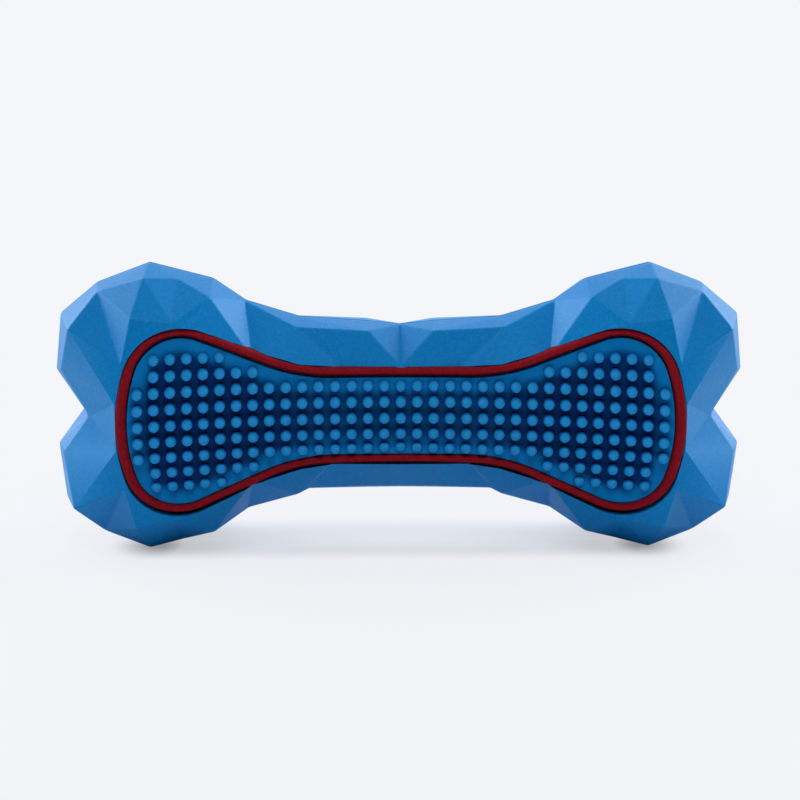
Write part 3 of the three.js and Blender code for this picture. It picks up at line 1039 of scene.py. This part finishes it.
@dataclass
class NubPad:
    """A soft pad with a crowned floor, a square field of round nubs and a thrust boss behind."""

    bench: Bench
    finish: PaintedLightRubberFinish
    flange: float = 0.0018
    flange_inset: float = 0.0005
    back_rings: int = 6
    rim_gap: float = 0.00015
    recess: float = 0.0009
    crown: float = 0.0006
    rim_radius: float = 0.0002
    rim_lift: float = 0.0005
    rim_slope: float = 0.0016
    rim_steps: int = 5
    floor_rings: int = 22
    pitch: float = 0.004
    nub_radius: float = 0.001375
    nub_rise: float = 0.0032
    nub_root: float = 0.0008
    nub_shoulder: float = 0.0012
    nub_dimple: float = 0.00003
    nub_sides: int = 12
    shoulder_steps: int = 4
    overhang: float = 0.00015
    tip_radius_waist: float = 0.0155
    tip_radius_lobe: float = 0.048
    squeaker_x: float = 0.04725
    boss_radius: float = 0.006
    boss_height: float = 0.0015
    boss_ease: float = 0.0003
    boss_sides: int = 40
    tip_tilt: float = 0.8
    # Values of the pad's painted shade and painted highlight on tips, posts, rim and floor.
    tip_light_and_wear: float = 0.66
    post_light_and_wear: float = 0.4
    lit_share: float = 1 / 3
    unshaded_rim: Span = (0.0015, 0.0048)
    lobe_shade_span: Span = (0.02, 0.042)
    waist_light_and_wear: float = 0.14

    @property
    def rim(self) -> float:
        """Offset of the pad's visible rim from the ring's middle line."""
        return -self.bench.ring_half - self.rim_gap

    def floor(self, x: np.ndarray, z: np.ndarray) -> np.ndarray:
        """Height of the pad's floor.

        Along the middle it is the face less the recess plus the crown, and it falls with the
        square of z over the window's half width, by the crown and the face's own droop.

        Args:
            x: Places along the bone.
            z: Places above the middle line.

        Returns:
            One height for each place, out from the seam.
        """
        half = self.bench.outline.half_width(x)
        edge = self.bench.face.height(x, half)
        middle = self.bench.face.height(x, np.zeros_like(x)) + self.crown
        share = np.clip(np.abs(z) / half, 0, 1)
        return middle + (edge - middle) * share**2 - self.recess

    def plate(self, side: Side) -> PaintedLightSurface:
        """The plate as loops: its back, the flange's wall and top, the rim's wall, and the floor.

        Near the rim the floor rises by the rim's lift times 1 less the way in over the slope's
        width. Between the nubs the floor gets painted shade, darker in the lobes than at the waist.

        Args:
            side: Which half.

        Returns:
            Points, quads and each point's painted shade.
        """
        bench = self.bench
        top = -bench.ring_height - bench.clearance
        back = top - self.flange
        inward = np.linspace(0, 1, self.back_rings)
        flange_x, flange_z = bench.drawn_in(-self.flange_inset, np.append(inward, 1.0))
        flange_out = bench.face.height(flange_x, flange_z) + back
        flange_out[-1] += self.flange
        bend = np.linspace(0, math.pi / 2, self.rim_steps)
        edge_offset = self.rim - self.rim_radius * (1 - np.cos(bend))
        rim_offset = np.concatenate(([self.rim], edge_offset))
        loop = bench.loop
        rim_x = loop.x + loop.nx * rim_offset[:, None]
        rim_z = loop.z + loop.nz * rim_offset[:, None]
        lift = self.rim_radius * (np.sin(bend) - 1)
        rim_out = self.floor(rim_x, rim_z)
        rim_out[0] = bench.face.height(rim_x[0], rim_z[0]) + top
        rim_out[1:] += lift[:, None]
        shares = np.linspace(1, 0, self.floor_rings)[1:]
        floor_x, floor_z = bench.drawn_in(self.rim - self.rim_radius, shares)
        floor_out = self.floor(floor_x, floor_z)
        x = np.concatenate((flange_x, rim_x, floor_x))
        z = np.concatenate((flange_z, rim_z, floor_z))
        out = np.concatenate((flange_out, rim_out, floor_out))
        inside = -bench.way_out(x.ravel(), z.ravel(), self.rim)
        border = np.clip(1 - inside.reshape(x.shape) / self.rim_slope, 0, 1)
        border[:len(flange_x) + 1] = 0.0
        grid = bench.points(x, out + self.rim_lift * border, z, side)
        # Painted shade on the floor between the nubs, darker in the lobes than at the waist, gone near
        # the rim.
        low = np.interp(np.abs(x.ravel()), self.lobe_shade_span, (self.waist_light_and_wear, SHADED))
        painted_light_and_wear = low + (PLAIN - low) * np.interp(inside, self.unshaded_rim, (1.0, 0.0))
        return grid.reshape(-1, 3), grid_faces(*grid.shape[:2]), painted_light_and_wear

    def nub_places(self) -> tuple[np.ndarray, np.ndarray, np.ndarray, np.ndarray]:
        """Every place that has room for a nub inside the pad's rim.

        Columns keep their pitch along the curved middle line. Rows keep it round a circle of
        radius r, which widens from the waist to the lobes: after a length s, z = r sin(s / r), and
        the tip lies r (1 - cos(s / r)) below the middle row's and slopes by tan(s / r).

        Returns:
            x, z, the height and the slope of the tip of each nub.
        """
        columns = math.floor(self.bench.face.end / self.pitch)
        rows = math.floor(self.bench.face.lobe / self.pitch)
        numbers = np.mgrid[-columns:columns + 1, -rows:rows + 1]
        along, across = (number.ravel() * self.pitch for number in numbers)
        x = self.bench.face.along(along)
        share = np.clip(np.abs(x) / self.bench.outline.lobe_x, 0, 1)
        radius = self.tip_radius_waist + (self.tip_radius_lobe - self.tip_radius_waist) * share
        turn = across / radius
        z = radius * np.sin(turn)
        middle = self.bench.face.height(x, np.zeros_like(x)) + self.nub_rise
        tip = middle - radius * (1 - np.cos(turn))
        fits = -self.bench.way_out(x, z, self.rim) >= self.nub_radius - self.overhang
        return x[fits], z[fits], tip[fits], np.tan(turn)[fits]

    def nubs(self, side: Side) -> PaintedLightSurface:
        """All nubs at once: a turned post with a round shoulder and a faint dimple in its tip.

        Each nub is a few rings of points. Ring radii open from the middle of the root, run
        straight up the post, round the shoulder by a quarter turn, and in to the middle of the tip.
        The tip tilts by a share of its slope, so it looks the way that its row does.

        Args:
            side: Which half.

        Returns:
            Points, quads and painted light: painted shade at the root, painted highlight and scuffing
                on the tip.
        """
        x, z, tip, slope = self.nub_places()
        LOG.info("%d nubs on the %s pad", len(x), side.word)
        turn = np.linspace(0, 2 * math.pi, self.nub_sides, endpoint=False)
        bend = np.linspace(0, math.pi / 2, self.shoulder_steps)
        rounded = self.nub_radius - self.nub_shoulder * (1 - np.cos(bend))
        radius = np.concatenate(([0.0, self.nub_radius], rounded, [0.0]))
        drop = np.concatenate((self.nub_shoulder * (np.sin(bend) - 1), [-self.nub_dimple]))
        root = self.floor(x, z) - self.nub_root
        out = np.concatenate((root[:, None], root[:, None], tip[:, None] + drop), axis=1)
        grid_x = x[:, None, None] + radius[:, None] * np.cos(turn)
        grid_z = z[:, None, None] + radius[:, None] * np.sin(turn)
        tilt = self.tip_tilt * slope[:, None, None] * radius[:, None] * np.sin(turn)
        tilt[:, :2] = 0.0
        grid = self.bench.points(grid_x, out[:, :, None] - tilt, grid_z, side)
        quads = grid_faces(len(radius), self.nub_sides)
        starts = np.arange(len(x)) * len(radius) * self.nub_sides
        # Painted shade on roots and posts; painted highlight with scuffing on the shoulder, a little
        # less in the tip's middle.
        light_and_wear = np.interp(drop, (-self.nub_shoulder, -self.nub_shoulder * self.lit_share),
                         (self.post_light_and_wear, LIT_AND_SCUFFED))
        light_and_wear[-1] = self.tip_light_and_wear
        painted_light_and_wear = np.broadcast_to(np.append((SHADED, SHADED), light_and_wear)[:, None], grid.shape[:-1])
        return grid.reshape(-1, 3), (quads + starts[:, None, None]).reshape(-1, 4), painted_light_and_wear.ravel()

    def boss(self, side: Side) -> PaintedLightSurface:
        """The round boss behind the pad that pushes on the squeaker, as turned loops without painted
        light.

        Its profile runs from the middle of its end, over an eased edge, up the wall and into the plate.

        Args:
            side: Which half.

        Returns:
            Points, quads and the plain value, with no painted light.
        """
        back = self.bench.face.height(np.array(self.squeaker_x), np.array(0.0))
        back = back - self.bench.ring_height - self.bench.clearance - self.flange
        wide, ease, low, high = self.boss_radius, self.boss_ease, -self.boss_height, self.flange / 2
        radius = np.array([0, wide - ease, wide, wide, 0])
        out = back + np.array([low, low, low + ease, high, high])
        points, quads = self.bench.turned(self.squeaker_x, radius, out, self.boss_sides, side)
        return points, quads, np.full(len(points), PLAIN)

    def build(self, side: Side) -> bpy.types.Object:
        """Join plate, nubs and boss into one piece.

        Args:
            side: Which half.

        Returns:
            The pad.
        """
        points, quads, painted_light_and_wear, start = [], [], [], 0
        for part in (self.plate, self.nubs, self.boss):
            places, faces, light_and_wear = part(side)
            points.append(places)
            quads.append(faces + start)
            painted_light_and_wear.append(light_and_wear)
            start += len(places)
        pad = mesh_object(f"{side.word}_pad_moulding", np.concatenate(points), np.concatenate(quads),
                          np.concatenate(painted_light_and_wear))
        return dress(pad, f"{side.word}_pad", "pad_rubber", self.finish.material(),
                     f"{side.word}_nub_pad")


@dataclass
class Squeaker:
    """The squeaker trapped at the seam: two soft bulb halves, a whistle in two halves and a reed."""

    bench: Bench
    plastic: PlasticFinish
    film: PlasticFinish
    x: float = 0.04725
    radius: float = 0.0173
    wall: float = 0.0012
    crown: float = 0.006
    rim: float = 0.0223
    rim_thickness: float = 0.0012
    top: float = 0.0105
    half_gap: float = 0.00015
    neck_radius: float = 0.0043
    neck_bore: float = 0.0032
    neck_length: float = 0.0075
    neck_fit: float = 0.999
    neck_steps: int = 20
    bow_steps: int = 12
    sides: int = 72
    squash_keep: float = 0.72

    def bow(self, inset: float) -> tuple[np.ndarray, np.ndarray]:
        """The dome's rounded wall: a quarter of an oval from its foot to its crown.

        The way from the axis is crown + across cos a, and the height is foot + rise sin a.

        Args:
            inset: How far it lies inside the outer wall.

        Returns:
            Ways from the axis and heights out from the seam.
        """
        angle = np.linspace(0, math.pi / 2, self.bow_steps)
        across = self.radius - inset - self.crown
        rise = self.top - inset - self.rim_thickness
        return self.crown + across * np.cos(angle), self.rim_thickness + rise * np.sin(angle)

    def dome(self, side: Side) -> Surface:
        """The bulb half turned about its axis: the outside, its flat rim and the inside.

        Args:
            side: Which half.

        Returns:
            Points and quads.
        """
        outer_r, outer_y = self.bow(0.0)
        inner_r, inner_y = self.bow(self.wall)
        rim_r = [self.rim, self.rim, inner_r[0]]
        rim_y = [self.rim_thickness, self.half_gap, self.half_gap]
        radius = np.concatenate(([0], outer_r[::-1], rim_r, inner_r, [0]))
        out = np.concatenate(([outer_y[-1]], outer_y[::-1], rim_y, inner_y, [inner_y[-1]]))
        return self.bench.turned(self.x, radius, out, self.sides, side)

    def neck(self, side: Side) -> Surface:
        """Half of the neck: a half-round gutter carried along X from the whistle to the bulb.

        The gutter's section goes round the outer half circle and back round the bore. Each end is
        closed by a loop on the half circle midway in the wall, where the two sides meet.

        Args:
            side: Which half.

        Returns:
            Points and quads.
        """
        turn = np.linspace(0, math.pi, self.neck_steps)
        round_trip = np.concatenate((turn, turn[::-1]))
        wall = np.repeat((self.neck_radius, self.neck_bore), self.neck_steps)
        radius = np.stack((np.full_like(wall, wall.mean()), wall))[[0, 1, 1, 0]]
        fit = np.array((1.0, self.neck_fit))[[0, 1, 1, 0], None]
        start = self.x - self.radius
        x = np.repeat((start - self.neck_length, start + self.wall), 2)[:, None]
        out = np.maximum(radius * np.sin(round_trip), self.half_gap)
        grid = self.bench.points(x, out, radius * np.cos(round_trip) * fit, side)
        return grid.reshape(-1, 3), grid_faces(*grid.shape[:2])

    def cup(self, side: Side, material: bpy.types.Material) -> bpy.types.Object:
        """Build one bulb half, of fixed shape, though the real one flattens as the pad in front of it
        is pressed.

        Args:
            side: Which half.
            material: The finish.

        Returns:
            The bulb half.
        """
        dome, dome_quads = self.dome(side)
        neck, neck_quads = self.neck(side)
        name = f"squeaker_{side.word}_bulb"
        cup = mesh_object(name, np.concatenate((dome, neck)),
                          np.concatenate((dome_quads, neck_quads + len(dome))))
        dress(cup, "body", "squeaker_plastic", material, f"squeaker_{side.word}_cup")
        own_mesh(cup)
        return cup

    def build(self) -> None:
        """Build the bulb and give the whistle and the reed their finish."""
        plastic = self.plastic.material()
        film = self.film.material()
        for side in Side:
            self.cup(side, plastic)
        for node, slot, material in (("squeaker_whistle_base", "squeaker_plastic", plastic),
                                     ("squeaker_whistle_top", "squeaker_plastic", plastic),
                                     ("squeaker_reed", "reed_film", film)):
            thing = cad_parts[node]
            thing.data.materials.clear()
            thing.data.materials.append(material)
            LOG.info("%s keeps its shape and gets its finish", node)


@dataclass
class Studio:
    """A pale table under soft light, and the camera at the photograph's viewing angle."""

    bench: Bench
    backdrop: Colour = linear(245, 246, 250)
    table: Colour = (0.85, 0.855, 0.87, 1.0)
    daylight: Colour = (1.0, 1.0, 1.0, 1.0)
    ambient: float = 0.09
    overhead_power: float = 1.9
    overhead_place: Place = (0.0, 0.7, 0.8)
    overhead_size: Span = (1.6, 1.2)
    side_power: float = 9.2
    side_place: Place = (0.85, 0.45, 0.47)
    side_size: Span = (0.85, 0.85)
    fill_power: float = 3.9
    fill_place: Place = (0.0, -0.65, 1.0)
    fill_size: Span = (0.55, 0.4)
    azimuth: float = math.radians(-1.24)
    elevation: float = math.radians(14)
    roll: float = math.radians(0.198)
    distance: float = 0.5068
    lens: float = 91.2
    shift: Span = (0.0005, 0.00525)
    clip: Span = (0.01, 20.0)
    table_size: float = 4.0
    # Painted shadow: the table's colour darkens to this near the feet.
    shade: Colour = (0.3, 0.31, 0.34, 1.0)
    shade_reach: Span = (0.006, 0.026)
    foot: Place = (0.0605, 0.005, 0.0)
    foot_glow: float = 0.3
    foot_reach: Span = (0.0, 0.0135)
    waist_glow: float = 0.6
    waist_reach: Span = (0.003, 0.0135)
    glow: float = 0.9
    fade: Span = (0.1, 0.4)

    def shown(self, nodes: NodeTree, gloss: bool = True) -> Socket:
        """Add the test that picks camera and transmission rays, and glossy ones too if asked.

        Args:
            nodes: The material's or the world's nodes.
            gloss: Whether glossy rays pass.

        Returns:
            One for such a ray, else zero.
        """
        ray = nodes.add("ShaderNodeLightPath").outputs
        seen = nodes.number_math("MAXIMUM", ray["Is Camera Ray"], ray["Is Transmission Ray"])
        return nodes.number_math("MAXIMUM", seen, ray["Is Glossy Ray"]) if gloss else seen

    def light_world(self) -> None:
        """Set the world: a pale backdrop to the eye and even soft light on the object."""
        world = bpy.data.worlds.new("studio")
        bpy.context.scene.world = world
        nodes = NodeTree(world, "ShaderNodeOutputWorld")
        light = nodes.add("ShaderNodeBackground", Color=self.daylight, Strength=self.ambient)
        seen = nodes.add("ShaderNodeBackground", Color=self.backdrop)
        nodes.show_mix(self.shown(nodes), light, seen)

    def table_material(self) -> bpy.types.Material:
        """A pale table, darkened near the feet as a painted shadow, that keeps the shadows at the feet
        and melts into the backdrop further off.

        The share of backdrop colour grows with the way to the nearest foot, (|x|, |y|) less the
        foot's place, with the way to the line between the feet, and then once more with the way
        from the table's middle. Close to the object, gloss shows the table's own shaded colour.

        Returns:
            The material.
        """
        nodes = NodeTree(bpy.data.materials.new("pale_table"))
        matt = nodes.add("ShaderNodeBsdfDiffuse")
        glow = nodes.add("ShaderNodeEmission", Color=self.backdrop)
        place = nodes.add("ShaderNodeTexCoord").outputs["Object"]
        folded = nodes.vector_math("ABSOLUTE", place)
        to_foot = nodes.vector_math("DISTANCE", folded, self.foot)
        away = nodes.vector_math("SUBTRACT", folded, self.foot)
        past = nodes.vector_math("MAXIMUM", away, (0.0, -self.table_size, 0.0))
        to_line = nodes.vector_math("LENGTH", past)
        # Painted shadow on the table near the feet.
        painted_shade_mix = nodes.step(to_foot, self.shade_reach, (0.0, 1.0))
        nodes.join(nodes.blend(painted_shade_mix, self.shade, self.table), matt, "Color")
        by_foot = nodes.step(to_foot, self.foot_reach, (self.foot_glow, self.glow))
        by_line = nodes.step(to_line, self.waist_reach, (self.waist_glow, self.glow))
        near = nodes.number_math("MINIMUM", by_foot, by_line)
        near = nodes.number_math("MULTIPLY", near, self.shown(nodes, gloss=False))
        far = nodes.step(nodes.vector_math("LENGTH", place), self.fade, (0.0, 1.0))
        far = nodes.number_math("MULTIPLY", far, self.shown(nodes))
        nodes.show_mix(nodes.number_math("MAXIMUM", near, far), matt, glow)
        return nodes.owner

    def lay_table(self) -> None:
        """Lay the table under the object's feet."""
        half = self.table_size / 2
        corners = np.array([(-half, -half, 0), (half, -half, 0), (half, half, 0), (-half, half, 0)])
        table = mesh_object("table", corners, np.array([[0, 1, 2, 3]]))
        table.data.materials.append(self.table_material())

    def area_light(self, name: str, place: Vector, power: float, size: Span) -> None:
        """Hang a soft box that looks at the object's middle.

        Args:
            name: The light's name.
            place: Where it hangs.
            power: Watts.
            size: Its width and depth.
        """
        lamp = bpy.data.lights.new(name, "AREA")
        lamp.shape, lamp.energy = "RECTANGLE", power
        lamp.size, lamp.size_y = size
        holder = new_object(name, lamp)
        aim = Vector((0, 0, self.bench.middle)) - place
        turn = aim.to_track_quat("-Z", "Y").to_matrix().to_4x4()
        holder.matrix_world = Matrix.Translation(place) @ turn

    def set_camera(self) -> None:
        """Set the camera at the photograph's angle, distance and roll."""
        e, a = self.elevation, self.azimuth
        back = Vector((math.sin(a) * math.cos(e), -math.cos(a) * math.cos(e), math.sin(e)))
        middle = Vector((0, 0, self.bench.middle))
        camera = bpy.data.cameras.new("camera")
        camera.lens, camera.shift_x, camera.shift_y = self.lens, *self.shift
        camera.clip_start, camera.clip_end = self.clip
        holder = new_object("camera", camera)
        turn = (-back).to_track_quat("-Z", "Y").to_matrix().to_4x4()
        turn = turn @ Matrix.Rotation(self.roll, 4, "Z")
        holder.matrix_world = Matrix.Translation(middle + back * self.distance) @ turn
        bpy.context.scene.camera = holder

    def build(self) -> None:
        """Set the table, the lights and the camera."""
        bpy.context.scene.view_settings.view_transform = "Standard"
        self.light_world()
        self.lay_table()
        self.area_light("overhead", Vector(self.overhead_place), self.overhead_power,
                        self.overhead_size)
        self.area_light("fill", Vector(self.fill_place), self.fill_power, self.fill_size)
        for name, way in (("left", -1), ("right", 1)):
            place = Vector(self.side_place) * Vector((way, 1, 1))
            self.area_light(f"{name}_side", place, self.side_power, self.side_size)
        self.set_camera()


SHELL_RUBBER = RubberFinish("shell_rubber", linear(1, 126, 203), linear(9, 145, 223), (0.36, 0.48), 0.3,
                            shine=(0.3, 0.65, 1.0, 1.0), cloud_scale=1900.0, grain_scale=2600.0,
                            grain_depth=0.00003)
# The pad's dark colour is painted shade between the nubs; its pale colour is painted highlight and
# scuffing on the tips.
PAD_RUBBER = PaintedLightRubberFinish("pad_rubber", linear(2, 132, 210), linear(5, 138, 216), (0.4, 0.5), 0.05,
                              grain_depth=0.00001, ripple_depth=0.00001,
                              painted_shade=linear(0, 54, 116), highlight_and_scuff=linear(48, 166, 240))
TRIM_RUBBER = RubberFinish("trim_rubber", linear(128, 10, 26), linear(156, 20, 36), (0.7, 0.9), 0.12,
                           cloud_scale=1300.0, grain_depth=0.00004)
BULB_PLASTIC = PlasticFinish("bulb_plastic", linear(232, 229, 219), linear(222, 218, 206),
                             (0.3, 0.45), 0.15)
REED_FILM = PlasticFinish("reed_film", linear(196, 199, 203), linear(180, 184, 190), (0.2, 0.35), 0.4)


def main() -> None:
    """Build the studio and the toy's pieces."""
    logging.basicConfig(level=logging.INFO, format="%(message)s")
    bench = Bench()
    Studio(bench).build()
    shell = Shell(bench, SHELL_RUBBER)
    ring = TrimRing(bench, TRIM_RUBBER)
    pad = NubPad(bench, PAD_RUBBER)
    for side in Side:
        shell.build(side)
        ring.build(side)
        pad.build(side)
    Squeaker(bench, BULB_PLASTIC, REED_FILM).build()


if __name__ == "__main__":
    main()
